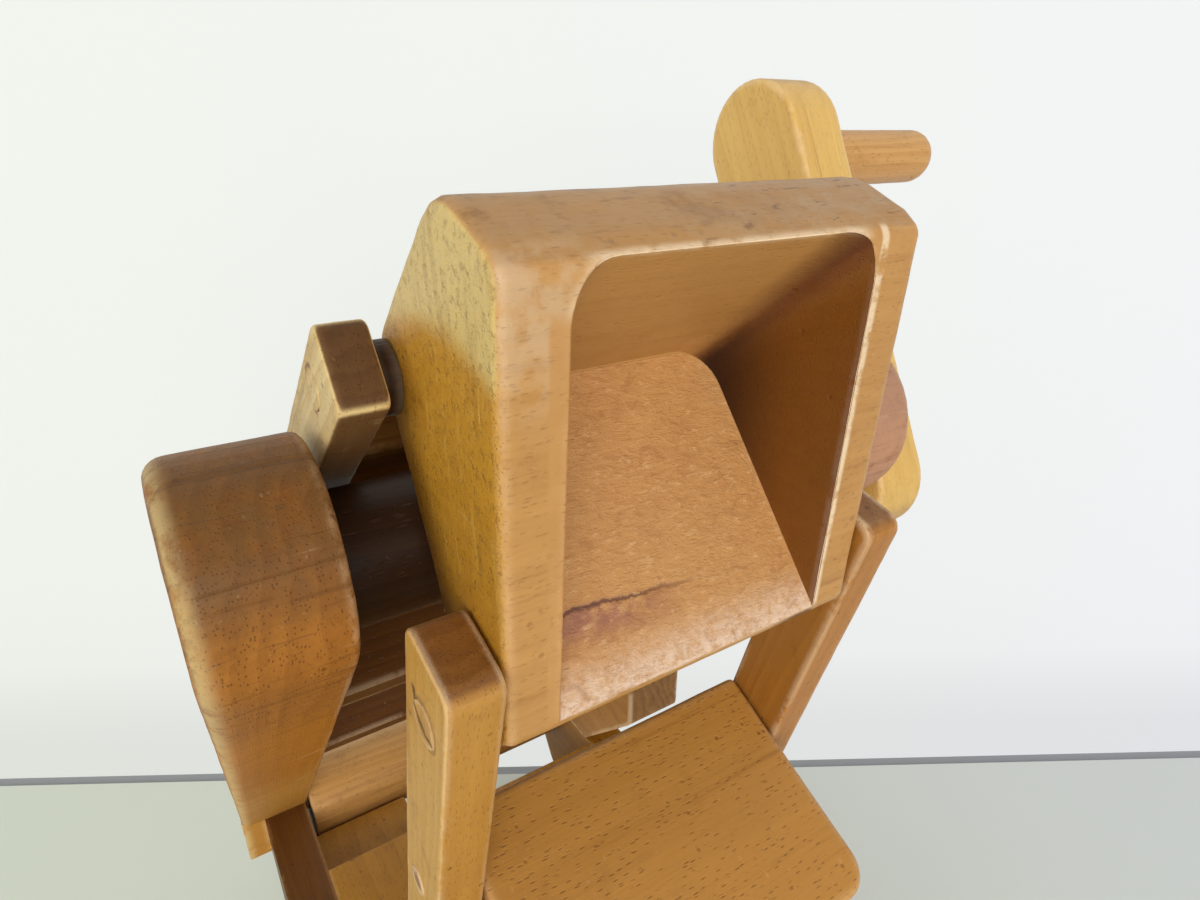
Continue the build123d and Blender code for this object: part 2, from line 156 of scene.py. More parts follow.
# ---- shared effects ---------------------------------------------------------
def make_grain():
    """Growth rings, fibres, pores and broad blotches. Local Z runs along the grain, in metres."""
    g, i, o = group("grain", [
        ("Vector", "Vector", (0, 0, 0)),
        ("Ring Width", "Float", 0.0028),
        ("Warp", "Float", 0.0035),
        ("Pore Size", "Float", 1.0),
    ], [("Rings", "Float"), ("Fibre", "Float"), ("Pores", "Float"), ("Blotch", "Float")])
    slow = stretch(g, i["Vector"], (1.0, 1.0, 0.16))
    wobble = noise(g, slow, 38.0, 3.0, 0.5)
    sep = put(g, "SeparateXYZ", {0: i["Vector"]}).outputs
    flat = put(g, "CombineXYZ", {0: sep[0], 1: sep[1], 2: 0.0}).outputs[0]
    away = put(g, "VectorMath", {0: flat}, operation="LENGTH").outputs["Value"]
    bent = calc(g, "MULTIPLY_ADD", wobble, calc(g, "MULTIPLY", i["Warp"], 6.0), away)
    turn = calc(g, "FRACT", calc(g, "DIVIDE", bent, i["Ring Width"]))
    rise = spread(g, turn, 0.0, 0.86)
    fall = spread(g, turn, 0.9, 1.0, 1.0, 0.0)
    g.links.new(calc(g, "MULTIPLY", rise, fall), o["Rings"])
    hair = stretch(g, i["Vector"], (1.0, 1.0, 0.03))
    fine = noise(g, hair, 1500.0, 3.0, 0.6)
    wide = noise(g, hair, 420.0, 3.0, 0.6)
    g.links.new(calc(g, "MULTIPLY_ADD", fine, 0.5, calc(g, "MULTIPLY", wide, 0.5)), o["Fibre"])
    dash = stretch(g, i["Vector"], (1.0, 1.0, 0.24))
    cells = put(g, "TexVoronoi", {"Vector": dash, "Scale": calc(g, "DIVIDE", 1250.0, i["Pore Size"]),
                                  "Randomness": 0.9}, feature="F1")
    dot = spread(g, cells.outputs["Distance"], 0.12, 0.36, 1.0, 0.0)
    pick = put(g, "SeparateColor", {0: cells.outputs["Color"]}).outputs[0]
    keep = spread(g, pick, 0.3, 0.6)
    g.links.new(calc(g, "MULTIPLY", dot, keep), o["Pores"])
    g.links.new(noise(g, slow, 42.0, 4.0, 0.6, 0.4), o["Blotch"])
    return g


def make_wear():
    """How rubbed an outward edge is: little wood behind the surface, broken up by noise."""
    g, i, o = group("edge wear", [
        ("Vector", "Vector", (0, 0, 0)),
        ("Radius", "Float", 0.0018),
        ("Amount", "Float", 1.0),
    ], [("Mask", "Float")])
    thin = put(g, "AmbientOcclusion", {"Distance": i["Radius"]}, samples=4, inside=True, only_local=True)
    bend = spread(g, thin.outputs["AO"], 0.94, 0.66)
    patch = noise(g, i["Vector"], 320.0, 5.0, 0.65)
    far = noise(g, i["Vector"], 60.0, 2.0, 0.5)
    shown = spread(g, calc(g, "MULTIPLY_ADD", patch, 0.6, calc(g, "MULTIPLY", far, 0.5)), 0.40, 0.58)
    mask = calc(g, "MULTIPLY", bend, shown)
    g.links.new(calc(g, "MULTIPLY", mask, i["Amount"], clamp=True), o["Mask"])
    return g


def make_marks():
    """Small dents, nicks and hair scratches from use."""
    g, i, o = group("use marks", [
        ("Vector", "Vector", (0, 0, 0)),
        ("Amount", "Float", 1.0),
    ], [("Dents", "Float"), ("Scratches", "Float"), ("Grime", "Float")])
    cells = put(g, "TexVoronoi", {"Vector": i["Vector"], "Scale": 330.0, "Randomness": 1.0}, feature="F1")
    spot = spread(g, cells.outputs["Distance"], 0.05, 0.22, 1.0, 0.0)
    pick = put(g, "SeparateColor", {0: cells.outputs["Color"]}).outputs[1]
    some = spread(g, pick, 0.80, 0.86)
    g.links.new(calc(g, "MULTIPLY", calc(g, "MULTIPLY", spot, some), i["Amount"]), o["Dents"])
    lines = []
    for angle, far in ((0.5, 3.0), (1.9, 7.0)):
        v = stretch(g, i["Vector"], (1.0, 0.035, 1.0), (far, far, far), (angle, angle * 0.7, angle * 1.3))
        n = noise(g, v, 900.0, 1.0, 0.4)
        lines.append(spread(g, n, 0.76, 0.80))
    g.links.new(calc(g, "MULTIPLY", calc(g, "MAXIMUM", *lines), i["Amount"]), o["Scratches"])
    g.links.new(noise(g, i["Vector"], 120.0, 6.0, 0.7, 0.3), o["Grime"])
    return g


GRAIN = make_grain()
WEAR = make_wear()
MARKS = make_marks()


def wood(name, light, deep, dark, turn, pith, ring=0.003, pores=0.3, pore_size=0.7, rings=0.5,
         end=0.7, end_colour=None, end_deep=None, end_pores=0.5, wear=1.0, wear_radius=0.0018,
         wear_colour=srgb(236, 205, 165), marks=1.0, rough=0.46, coat=0.06, gloss=0.3, extra=None):
    """Aged, varnished wood. turn puts the grain direction on local Z; pith is where the rings centre."""
    m = bpy.data.materials.new(name)
    m.use_nodes = True
    t = m.node_tree
    bsdf = t.nodes["Principled BSDF"]
    place = put(t, "TexCoord").outputs
    here = place["Object"]
    local = stretch(t, here, (1, 1, 1), pith, turn)
    gr = put(t, "Group", node_tree=GRAIN)
    t.links.new(local, gr.inputs["Vector"])
    gr.inputs["Ring Width"].default_value = ring
    gr.inputs["Pore Size"].default_value = pore_size
    ew = put(t, "Group", node_tree=WEAR)
    t.links.new(here, ew.inputs["Vector"])
    ew.inputs["Radius"].default_value = wear_radius
    ew.inputs["Amount"].default_value = wear
    mk = put(t, "Group", node_tree=MARKS)
    t.links.new(here, mk.inputs["Vector"])
    mk.inputs["Amount"].default_value = marks
    # end grain: the face looks along the grain
    facing = put(t, "Mapping", {"Vector": place["Normal"], "Rotation": turn},
                 vector_type="VECTOR").outputs[0]
    along = put(t, "SeparateXYZ", {0: facing}).outputs[2]
    cut = spread(t, calc(t, "ABSOLUTE", along), 0.55, 0.92)
    # colour from rings, fibres and blotches
    tone = calc(t, "MULTIPLY_ADD", gr.outputs["Rings"], rings * 0.55,
                calc(t, "MULTIPLY", spread(t, gr.outputs["Fibre"], 0.3, 0.7, kind="LINEAR"), 0.38))
    tone = calc(t, "MULTIPLY_ADD", spread(t, gr.outputs["Blotch"], 0.3, 0.7, kind="LINEAR"), 0.3, tone)
    col = mix(t, calc(t, "MULTIPLY", tone, 1.0, clamp=True), light, deep)
    col = mix(t, calc(t, "MULTIPLY", gr.outputs["Pores"], pores, clamp=True), col, dark)
    burn = calc(t, "MULTIPLY", cut, end)
    col = mix(t, burn, col, mix(t, tone, end_colour or deep, end_deep or dark))
    pits = calc(t, "MULTIPLY", calc(t, "MULTIPLY", gr.outputs["Pores"], cut), end_pores)
    col = mix(t, pits, col, dark)
    hair = spread(t, gr.outputs["Fibre"], 0.56, 0.68)
    col = mix(t, calc(t, "MULTIPLY", hair, calc(t, "MULTIPLY_ADD", cut, -0.2, 0.26)), col, dark)
    grime = spread(t, mk.outputs["Grime"], 0.52, 0.74)
    col = mix(t, calc(t, "MULTIPLY", grime, 0.22 * marks), col, dark)
    col = mix(t, calc(t, "MULTIPLY", mk.outputs["Dents"], 0.55), col, dark)
    col = mix(t, calc(t, "MULTIPLY", mk.outputs["Scratches"], 0.12), col, wear_colour)
    col = mix(t, calc(t, "MULTIPLY", ew.outputs["Mask"], 0.85), col, wear_colour)
    height = calc(t, "MULTIPLY_ADD", gr.outputs["Fibre"], 0.5,
                  calc(t, "MULTIPLY", gr.outputs["Pores"], -0.6))
    height = calc(t, "MULTIPLY_ADD", mk.outputs["Dents"], -0.9, height)
    height = calc(t, "MULTIPLY_ADD", mk.outputs["Grime"], 0.5, height)
    if extra:
        col, height = extra(t, here, col, height)
    b = put(t, "Bump", {"Height": height, "Strength": 0.45, "Distance": 0.0004})
    shine = calc(t, "MULTIPLY_ADD", mk.outputs["Grime"], 0.22, rough - 0.11)
    shine = calc(t, "MULTIPLY_ADD", ew.outputs["Mask"], 0.2, shine)
    t.links.new(col, bsdf.inputs["Base Color"])
    t.links.new(shine, bsdf.inputs["Roughness"])
    t.links.new(b.outputs[0], bsdf.inputs["Normal"])
    bsdf.inputs["Coat Weight"].default_value = coat
    bsdf.inputs["Coat Roughness"].default_value = 0.28
    bsdf.inputs["Specular IOR Level"].default_value = gloss
    return m


ALONG_X = (0, -pi / 2, 0)
ALONG_Y = (pi / 2, 0, 0)


def along(slope):
    """Turn for grain that lies in the side view, slope degrees below level towards the back."""
    return (pi / 2 + radians(slope), 0, 0)


UMBER = srgb(74, 38, 14)


def bucket_story(t, here, col, height):
    """Where the bucket is pale, dark, stained and torn, by place and by which way the wood looks; some of
    the pale is painted sheen and some of the dark is painted shade.
    """
    x, y, z = parts(t, here)
    nx, ny, nz = normal_parts(t)
    mottle = noise(t, here, 190.0, 5.0, 0.65)
    drift = noise(t, here, 45.0, 3.0, 0.5)
    # varnish worn thin over the top of the left side, with a soft lower edge; the pale colour is also a
    # painted sheen
    left = spread(t, nx, -0.7, -0.95)
    outside = spread(t, x, -0.030, -0.034)
    dip = calc(t, "POWER", calc(t, "ADD", y, 0.059), 2.0)
    rise = calc(t, "MULTIPLY_ADD", dip, 12.0, z)
    rise = calc(t, "MULTIPLY_ADD", drift, 0.006, rise)
    pale = both(t, left, outside, spread(t, rise, 0.2765, 0.2815))
    col = tint(t, col, srgb(214, 190, 124), pale, 0.75)
    low = both(t, left, outside, spread(t, z, 0.262, 0.226))
    col = tint(t, col, srgb(140, 88, 12), low, 0.2)
    slant = noise(t, stretch(t, here, (1.0, 1.0, 0.14), (0, 0, 0), (radians(28), 0, 0)), 380.0, 4.0, 0.62)
    upright = noise(t, stretch(t, here, (1.0, 1.0, 0.10), (0.1, 0, 0), (radians(-12), 0, 0)),
                    640.0, 3.0, 0.6)
    side = both(t, left, outside)
    col = tint(t, col, srgb(120, 76, 14), side, spread(t, slant, 0.52, 0.68), 0.24)
    col = tint(t, col, srgb(222, 186, 92), side, spread(t, upright, 0.54, 0.72), 0.24)
    pock = noise(t, here, 820.0, 3.0, 0.7)
    col = tint(t, col, srgb(108, 68, 20), side, spread(t, pock, 0.58, 0.68), 0.4)
    height = calc(t, "MULTIPLY_ADD", both(t, side, spread(t, pock, 0.52, 0.66)), -1.4, height)
    # painted shadow: the left side darkens towards the back edge, where the push bar shades it
    behind = calc(t, "MULTIPLY_ADD", calc(t, "ADD", y, 0.0588), -0.887,
                  calc(t, "MULTIPLY", calc(t, "ADD", z, -0.216), 0.462))
    dark = both(t, side, spread(t, behind, 0.013, 0.001), spread(t, z, 0.272, 0.262))
    col = tint(t, col, srgb(82, 48, 8), dark, 0.75)
    # top: greyed by handling
    up = both(t, spread(t, nz, 0.45, 0.85), spread(t, z, 0.28, 0.284))
    col = tint(t, col, mix(t, drift, srgb(170, 126, 74), srgb(148, 106, 58)), up, 0.6)
    grey = both(t, up, spread(t, mottle, 0.38, 0.62), spread(t, x, -0.03, 0.03, 0.35, 1.0))
    murk = both(t, up, spread(t, noise(t, here, 120.0, 5.0, 0.7), 0.5, 0.66), spread(t, x, 0.025, -0.02))
    col = tint(t, col, srgb(116, 74, 36), murk, 0.5)
    col = tint(t, col, srgb(176, 146, 112), grey, 0.45)
    scuffs = both(t, up, spread(t, noise(t, stretch(t, here, (0.35, 1, 1)), 620.0, 3.0, 0.6), 0.61, 0.68),
                  spread(t, x, -0.03, 0.03, 0.25, 1.0))
    col = tint(t, col, srgb(84, 52, 30), scuffs, 0.7)
    # rubbed upper corner of the front rim
    corner = both(t, spread(t, ny, -0.35, -0.8), spread(t, z, 0.262, 0.281), spread(t, x, -0.018, -0.03),
                  spread(t, mottle, 0.36, 0.6))
    col = tint(t, col, srgb(204, 176, 144), corner, 0.5)
    # thin pale line where the mouth's edges are rubbed
    slope = calc(t, "MULTIPLY_ADD", calc(t, "ADD", z, -0.2179), -0.0517, -0.0752)
    front = spread(t, calc(t, "SUBTRACT", y, slope), 0.0018, 0.0007)
    reach = calc(t, "ABSOLUTE", x)
    post = both(t, spread(t, reach, 0.0262, 0.0268), spread(t, reach, 0.0284, 0.0276),
                spread(t, x, -0.01, 0.01))
    beam = both(t, spread(t, z, 0.2842, 0.2854), spread(t, z, 0.2884, 0.2872),
                spread(t, reach, 0.026, 0.02))
    line = both(t, front, calc(t, "MAXIMUM", post, beam),
                spread(t, noise(t, here, 280.0, 4.0, 0.7), 0.34, 0.54))
    col = tint(t, col, srgb(236, 210, 176), line, 0.75)
    # the left post's inner edge isn't rubbed
    face = spread(t, calc(t, "SUBTRACT", y, slope), 0.004, 0.0025)
    quiet = both(t, face, spread(t, x, -0.0240, -0.0255), spread(t, x, -0.0296, -0.0288),
                 spread(t, z, 0.281, 0.278))
    col = tint(t, col, mix(t, mottle, srgb(198, 148, 88), srgb(176, 124, 66)), quiet, 0.85)
    # hollow: roof, right wall, floor
    inside = both(t, spread(t, x, -0.0285, -0.0268), spread(t, x, 0.0285, 0.0268))
    roof = both(t, inside, spread(t, nz, -0.3, -0.6))
    # painted shade in the roof's right corner
    roof_corner_shade = both(t, roof, spread(t, x, 0.015, 0.024))
    col = tint(t, col, srgb(188, 134, 74), roof, 0.45)
    col = tint(t, col, srgb(84, 38, 6), roof_corner_shade, 0.95)
    # painted shade: the hollow's right wall is dark brown, darkest in its rear part
    wall = both(t, spread(t, nx, -0.45, -0.8), spread(t, x, 0.012, 0.02))
    col = tint(t, col, mix(t, drift, srgb(110, 53, 8), srgb(80, 33, 5)), wall, 0.85)
    deep = both(t, wall, spread(t, y, -0.068, -0.048))
    col = tint(t, col, srgb(38, 13, 3), deep, 0.95)
    floor = both(t, inside, spread(t, nz, 0.25, 0.5), spread(t, z, 0.275, 0.27))
    down = calc(t, "MULTIPLY_ADD", calc(t, "ADD", y, 0.0458), -0.561,
                calc(t, "MULTIPLY", calc(t, "ADD", z, -0.261), -0.828))
    col = tint(t, col, mix(t, mottle, srgb(214, 160, 104), srgb(186, 128, 76)), floor, 0.6)
    line = calc(t, "SUBTRACT", down, calc(t, "MULTIPLY_ADD", x, 0.096, 0.0394))
    line = calc(t, "MULTIPLY_ADD", calc(t, "SUBTRACT", noise(t, here, 230.0, 4.0, 0.7), 0.5), 0.0026, line)
    crack = both(t, floor, spread(t, calc(t, "ABSOLUTE", line), 0.00055, 0.00005),
                 spread(t, x, 0.011, -0.012))
    stain = both(t, floor, spread(t, line, -0.0012, 0.001), spread(t, line, 0.0075, 0.0015),
                 spread(t, x, 0.004, -0.014), spread(t, mottle, 0.3, 0.52))
    col = tint(t, col, srgb(142, 88, 82), stain, 0.75)
    col = tint(t, col, srgb(84, 48, 46), crack, 0.8)
    lip = both(t, floor, spread(t, down, 0.0425, 0.0535),
               spread(t, noise(t, here, 620.0, 5.0, 0.75), 0.22, 0.66))
    col = tint(t, col, srgb(238, 212, 190), lip, 0.85)
    # torn fibres and faint turning marks of the cutter
    torn = noise(t, stretch(t, here, (0.45, 1, 1)), 900.0, 4.0, 0.65)
    spot = put(t, "VectorMath", {0: here, 1: (0.017, -0.060, 0.240)}, operation="DISTANCE").outputs["Value"]
    rings = calc(t, "SINE", calc(t, "MULTIPLY", spot, 7400.0))
    near = both(t, floor, spread(t, spot, 0.013, 0.007), spread(t, spot, 0.002, 0.005),
                spread(t, drift, 0.4, 0.55))
    lumps = noise(t, stretch(t, here, (0.7, 1, 1)), 330.0, 5.0, 0.7, 0.6)
    col = tint(t, col, srgb(150, 96, 52), floor, spread(t, lumps, 0.52, 0.66), 0.3)
    col = tint(t, col, srgb(232, 190, 138), floor, spread(t, torn, 0.56, 0.7), 0.35)
    height = calc(t, "MULTIPLY_ADD", both(t, floor, lumps), 2.4, height)
    height = calc(t, "MULTIPLY_ADD", both(t, floor, torn), 2.8, height)
    height = calc(t, "MULTIPLY_ADD", both(t, near, rings), 0.12, height)
    height = calc(t, "MULTIPLY_ADD", crack, -1.5, height)
    return col, height


def bar_story(t, here, col, height):
    """Saw lines across the round end, painted shade on the top, painted light on the paler underside and on
    the right bar's upper part, and a rubbed outer edge that is partly a painted highlight.
    """
    x, z = parts(t, here)[::2]
    mottle = noise(t, here, 170.0, 5.0, 0.65)
    saw = noise(t, stretch(t, here, (0.05, 1, 1)), 760.0, 3.0, 0.6)
    lines = spread(t, saw, 0.55, 0.68)
    col = tint(t, col, UMBER, lines, 0.35)
    # painted shade: the bars' tops are darker
    bar_top_shade = both(t, spread(t, z, 0.232, 0.252), spread(t, mottle, 0.25, 0.6))
    col = tint(t, col, srgb(98, 72, 40), bar_top_shade, 0.55)
    # painted light: the underside is paler
    under = spread(t, z, 0.216, 0.19)
    col = tint(t, col, srgb(176, 112, 26), under, 0.55)
    low = spread(t, z, 0.16, 0.12)
    col = tint(t, col, srgb(196, 150, 74), low, 0.4)
    # the rubbed outer edge is partly a painted highlight
    nx = calc(t, "ABSOLUTE", normal_parts(t)[0])
    side = calc(t, "MULTIPLY", spread(t, calc(t, "ABSOLUTE", x), 0.0685, 0.0712), spread(t, nx, 0.98, 0.8))
    col = tint(t, col, srgb(204, 178, 122), side, spread(t, mottle, 0.3, 0.55), 0.6)
    # painted light: the right bar's upper part is paler and pinker
    far = both(t, spread(t, x, 0.04, 0.05), spread(t, z, 0.205, 0.225), spread(t, mottle, 0.2, 0.5))
    col = tint(t, col, srgb(206, 156, 128), far, 0.6)
    scrape = both(t, spread(t, noise(t, stretch(t, here, (0.12, 1, 1)), 330.0, 2.0, 0.5), 0.66, 0.70),
                  spread(t, noise(t, here, 90.0, 2.0, 0.5), 0.5, 0.6))
    col = tint(t, col, srgb(206, 170, 130), scrape, 0.35)
    height = calc(t, "MULTIPLY_ADD", lines, -0.8, height)
    return col, height


def push_story(t, here, col, height):
    """The push bars' underside is darkened by painted shade; a small torn mark lies over the peg."""
    x, y = parts(t, here)[:2]
    nz = normal_parts(t)[2]
    # painted shade on the undersides, broken up by noise
    dark = both(t, spread(t, nz, -0.3, -0.7), spread(t, noise(t, here, 160.0, 4.0, 0.6), 0.1, 0.4))
    col = tint(t, col, srgb(92, 54, 20), dark, 0.9)
    off = apart(t, here, *LINK_M)
    off = calc(t, "MULTIPLY_ADD", noise(t, here, 420.0, 3.0, 0.6), 0.001, off)
    ring = both(t, spread(t, off, 0.0037, 0.0040), spread(t, off, 0.0048, 0.0043),
                spread(t, y, -0.0405, -0.0385), spread(t, calc(t, "ABSOLUTE", x), 0.0470, 0.0476))
    col = tint(t, col, srgb(120, 62, 34), ring, 0.7)
    height = calc(t, "MULTIPLY_ADD", ring, -1.5, height)
    return col, height


def stretcher_story(t, here, col, height):
    """Painted shade darkens the left half; towards the crank side, painted light makes the same wood paler.
    """
    x = parts(t, here)[0]
    crank_side_light = both(t, spread(t, x, -0.015, 0.02), spread(t, noise(t, here, 80.0, 3.0, 0.5), 0.2, 0.5))
    col = tint(t, col, srgb(190, 138, 66), crank_side_light, 0.8)
    return col, height


def arm_story(t, here, col, height):
    """The cracked joint round each bucket peg, and painted shade on the front and inner faces."""
    x, y, z = parts(t, here)
    off = apart(t, here, *PIVOT_M)
    off = calc(t, "MULTIPLY_ADD", noise(t, here, 300.0, 3.0, 0.6), 0.0007, off)
    ring = both(t, spread(t, off, 0.0040, 0.0043), spread(t, off, 0.0050, 0.0045), 0.4)
    arc = apart(t, here, -0.0695, 0.2243)
    arc = calc(t, "MULTIPLY_ADD", calc(t, "SUBTRACT", noise(t, here, 420.0, 3.0, 0.6), 0.5), 0.0024, arc)
    crack = both(t, spread(t, calc(t, "ABSOLUTE", calc(t, "ADD", arc, -0.0054)), 0.00065, 0.0002),
                 spread(t, y, -0.0712, -0.0700), spread(t, z, 0.2258, 0.2248))
    mark = calc(t, "MAXIMUM", ring, crack)
    outer = spread(t, calc(t, "ABSOLUTE", x), 0.0445, 0.0451)
    mark = calc(t, "MULTIPLY", mark, outer)
    col = tint(t, col, srgb(58, 26, 10), mark, 0.85)
    dirt = both(t, outer, spread(t, off, 0.009, 0.004),
                spread(t, noise(t, here, 200.0, 4.0, 0.7), 0.4, 0.65))
    col = tint(t, col, srgb(138, 92, 40), dirt, 0.3)
    nx, ny = normal_parts(t)[:2]
    # painted shade: darker front faces, and a darker inner face on the right arm
    col = tint(t, col, srgb(150, 90, 24), spread(t, ny, -0.6, -0.9), 0.45)
    inner = both(t, spread(t, x, 0.02, 0.03), spread(t, nx, -0.6, -0.9))
    col = tint(t, col, srgb(112, 58, 8), inner, 0.35)
    height = calc(t, "MULTIPLY_ADD", mark, -2.0, height)
    return col, height


SMALL_WEAR = dict(wear=0.45, wear_radius=0.0012)
MATS = {
    "bucket": wood("bucket wood", srgb(194, 144, 82), srgb(168, 118, 60), srgb(128, 78, 34), ALONG_X,
                   (0.0, 0.09, 0.02), 0.0042, pores=0.22, pore_size=0.6, rings=0.3,
                   end=0.9, end_colour=srgb(196, 142, 40), end_deep=srgb(170, 116, 20),
                   wear=0.75, wear_radius=0.0014, marks=0.8, extra=bucket_story),
    "bar": wood("side bar wood", srgb(168, 108, 38), srgb(134, 80, 24), UMBER, along(BAR_SLOPE),
                (0.0, 0.1, 0.0), 0.0036, pores=0.6, pore_size=0.6,
                end=0.85, end_colour=srgb(132, 84, 32), end_deep=srgb(98, 56, 16), end_pores=0.45,
                wear=0.8, rough=0.52, coat=0.02, gloss=0.2, extra=bar_story),
    "knee": wood("knee wood", srgb(196, 146, 80), srgb(166, 116, 56), UMBER, ALONG_Y,
                 (0.0, 0.1, 0.0), 0.0036, pores=0.5, pore_size=1.0),
    "arm": wood("arm wood", srgb(208, 160, 76), srgb(180, 128, 48), UMBER, along(75),
                (0.05, 0.04, 0), pores=0.2, pore_size=0.6,
                end=0.95, end_colour=srgb(132, 80, 26), end_deep=srgb(94, 50, 12),
                wear=0.8, wear_radius=0.0012, extra=arm_story),
    "arm_right": wood("right arm wood", srgb(196, 136, 58), srgb(160, 102, 34), UMBER, along(75),
                      (0.05, 0.04, 0), pores=0.4, pore_size=0.8,
                      end=0.95, end_colour=srgb(150, 100, 48), end_deep=srgb(110, 66, 24),
                      extra=arm_story),
    # the push bars' pale colours are partly a painted sheen on their outer faces
    "push": wood("push bar wood", srgb(226, 204, 148), srgb(188, 148, 88), UMBER, along(PUSH_SLOPE),
                 (0.05, 0.02, 0), pore_size=0.6,
                 end=0.95, end_colour=srgb(84, 45, 10), end_deep=srgb(58, 28, 6),
                 wear=0.25, wear_radius=0.0012, wear_colour=srgb(196, 150, 96),
                 rough=0.55, coat=0.0, gloss=0.2, extra=push_story),
    "board": wood("board wood", srgb(196, 140, 66), srgb(170, 114, 44), srgb(116, 68, 26), ALONG_X,
                  (0.0, 0.1, 0.05), 0.006, pores=0.5, rings=0.12, end_colour=srgb(120, 74, 30), wear=0.6),
    "base": wood("base wood", srgb(184, 130, 40), srgb(150, 100, 24), UMBER, ALONG_Y, (0.04, 0.02, 0),
                 wear_colour=srgb(214, 172, 112), **SMALL_WEAR),
    # a darker copy of the base wood, worn only by the left rail: painted shade
    "rail": wood("rail wood", srgb(112, 70, 26), srgb(84, 50, 18), UMBER, ALONG_Y, (0.04, 0.02, 0),
                 wear_colour=srgb(190, 140, 84), **SMALL_WEAR),
    # dark colours: painted shade on the stretchers; stretcher_story paints the crank side lighter
    "stretcher": wood("stretcher wood", srgb(104, 62, 18), srgb(74, 41, 8), UMBER, ALONG_X,
                      (0.0, 0.03, 0.02), wear=0.4, extra=stretcher_story),
    "crosswise": wood("cross wood", srgb(206, 156, 88), srgb(170, 120, 60), UMBER, ALONG_X,
                      (0.0, 0.03, 0.02), **SMALL_WEAR),
    "shade": wood("push board wood", srgb(98, 64, 28), srgb(72, 44, 16), UMBER, ALONG_X,
                  (0.0, 0.03, 0.02), pore_size=1.0, wear=0.1, marks=0.2, rough=0.75, coat=0.0, gloss=0.0),
    # very dark brown, partly painted shade: the drum lies in shade under the bucket
    "drum": wood("drum wood", srgb(54, 31, 12), srgb(34, 18, 7), UMBER, ALONG_X,
                 (0.0, 0.03, 0.02), pore_size=1.0, wear=0.1, marks=0.2, coat=0.02, gloss=0.15),
    "crank": wood("crank wood", srgb(226, 186, 106), srgb(202, 154, 80), srgb(140, 92, 44), along(-63),
                  (0.05, 0.03, 0), 0.0035, pores=0.25, pore_size=0.6, rings=0.3, marks=0.5),
    "dowel": wood("dowel wood", srgb(212, 164, 98), srgb(184, 128, 68), UMBER, ALONG_X,
                  (0.0, 0.01, 0.01), end_colour=srgb(150, 104, 52)),
}


# ---- shaped pieces -----------------------------------------------------------
def keep(name, bm, body, swaps, mat):
    """Makes the finished object, rides it on its body and lets it stand for its CAD nodes."""
    bmesh.ops.recalc_face_normals(bm, faces=bm.faces)
    bmesh.ops.triangulate(bm, faces=bm.faces)
    me = bpy.data.meshes.new(name)
    bm.to_mesh(me)
    bm.free()
    me.shade_smooth()
    me.set_sharp_from_angle(angle=radians(40))
    ob = bpy.data.objects.new(name, me)
    bpy.context.scene.collection.objects.link(ob)
    me.materials.append(mat)
    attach(ob, body)
    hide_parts(*swaps)


def nearest(bm, y, z, x=None):
    """The vertex closest to a side-view point, in mm."""
    def far(v):
        d = (v.co.y - y * MM) ** 2 + (v.co.z - z * MM) ** 2
        return d if x is None else d + (v.co.x - x * MM) ** 2
    return min(bm.verts, key=far)


def plank(points, x0, x1, rounds=(), steps=6):
    """A side-view outline in mm, with some corners rounded, pushed out along X."""
    bm = bmesh.new()
    bm.faces.new([bm.verts.new((x0 * MM, y * MM, z * MM)) for y, z in points])
    for y, z, back in rounds:
        bmesh.ops.bevel(bm, geom=[nearest(bm, y, z)], offset=back * MM, segments=steps, profile=0.5,
                        affect="VERTICES", material=-1)
    out = bmesh.ops.extrude_face_region(bm, geom=bm.faces[:])
    top = [v for v in out["geom"] if isinstance(v, bmesh.types.BMVert)]
    bmesh.ops.translate(bm, vec=((x1 - x0) * MM, 0, 0), verts=top)
    bmesh.ops.recalc_face_normals(bm, faces=bm.faces)
    return bm


def round_off(bm, edges, width, steps):
    bmesh.ops.bevel(bm, geom=list(edges), offset=width * MM, segments=steps, profile=0.5,
                    affect="EDGES", clamp_overlap=True, material=-1)


def ease(bm, width, steps=4, test=None):
    """Rounds the edges of a plank's two flat sides."""
    caps = [f for f in bm.faces if abs(f.normal.x) > 0.99]
    edges = {e for f in caps for e in f.edges}
    if test:
        edges = {e for e in edges if test((e.verts[0].co + e.verts[1].co) / 2 / MM)}
    round_off(bm, edges, width, steps)


def cut_up(bm, step):
    """Cuts a shape into a close grid, so that it can be worn by hand-sized unevenness."""
    for axis in range(3):
        low = min(v.co[axis] for v in bm.verts)
        high = max(v.co[axis] for v in bm.verts)
        count = int((high - low) / (step * MM))
        normal = [0, 0, 0]
        normal[axis] = 1
        for k in range(1, count):
            spot = [0, 0, 0]
            spot[axis] = low + (high - low) * k / count
            bmesh.ops.bisect_plane(bm, geom=bm.verts[:] + bm.edges[:] + bm.faces[:],
                                   dist=1e-7, plane_co=spot, plane_no=normal)


def unevenness(bm, deep, reach=14.0, seed=0.0):
    """Sands the surface down by a fraction of a millimetre here and there."""
    bm.normal_update()
    for v in bm.verts:
        p = v.co / (reach * MM) + Vector((seed, seed * 2, seed * 3))
        wave = hills.noise(p) * 0.6 + hills.noise(p * 2.7) * 0.4
        v.co -= v.normal * (deep * MM * (0.5 + 0.5 * wave))


def solid(name, bm):
    me = bpy.data.meshes.new(name)
    bmesh.ops.recalc_face_normals(bm, faces=bm.faces)
    bm.to_mesh(me)
    bm.free()
    ob = bpy.data.objects.new(name, me)
    bpy.context.scene.collection.objects.link(ob)
    return ob


